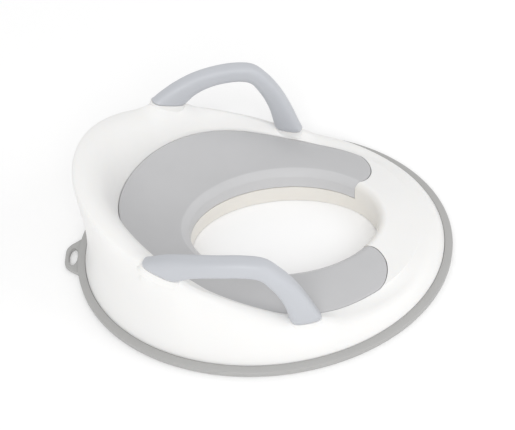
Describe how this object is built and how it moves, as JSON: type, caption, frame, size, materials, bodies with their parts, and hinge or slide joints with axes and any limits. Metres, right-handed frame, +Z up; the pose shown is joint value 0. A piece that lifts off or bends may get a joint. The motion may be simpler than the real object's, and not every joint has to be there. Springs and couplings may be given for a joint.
{
  "type": "toilet training seat",
  "caption": "Child's toilet training seat: oval moulded shell with raised back, lift-out horseshoe cushion, arched side handles and a soft rim with hanging loop.",
  "frame": {"origin": "centre of the whole footprint at the rim's underside, hanging loop included", "axes": "+Z up, Y along the seat with the raised back at +Y and the child facing -Y, X across, the seat symmetric about X = 0"},
  "size_m": [0.336, 0.404, 0.1377],
  "materials": {
    "shell_plastic": "satin white moulded polypropylene",
    "rim_rubber": "fine matt grey soft moulding",
    "cushion_skin": "smooth satin grey moulded foam skin",
    "grip_rubber": "satin grey soft-touch moulding",
    "screw_steel": "plain zinc plated"
  },
  "bodies": {
    "seat": {"seat_shell": "shell_plastic", "rim_seal": "rim_rubber", "right_handle_grip": "grip_rubber", "right_handle_core": "shell_plastic", "right_rear_screw": "screw_steel", "right_front_screw": "screw_steel", "left_handle_grip": "grip_rubber", "left_handle_core": "shell_plastic", "left_rear_screw": "screw_steel", "left_front_screw": "screw_steel"},
    "cushion": {"seat_cushion": "cushion_skin", "cushion_backing": "shell_plastic"}
  },
  "joints": [
    {"name": "cushion_lift", "type": "slide", "parent": "seat", "child": "cushion", "axis": [0, 0, 1], "range_m": [0, 0.13]}
  ]
}
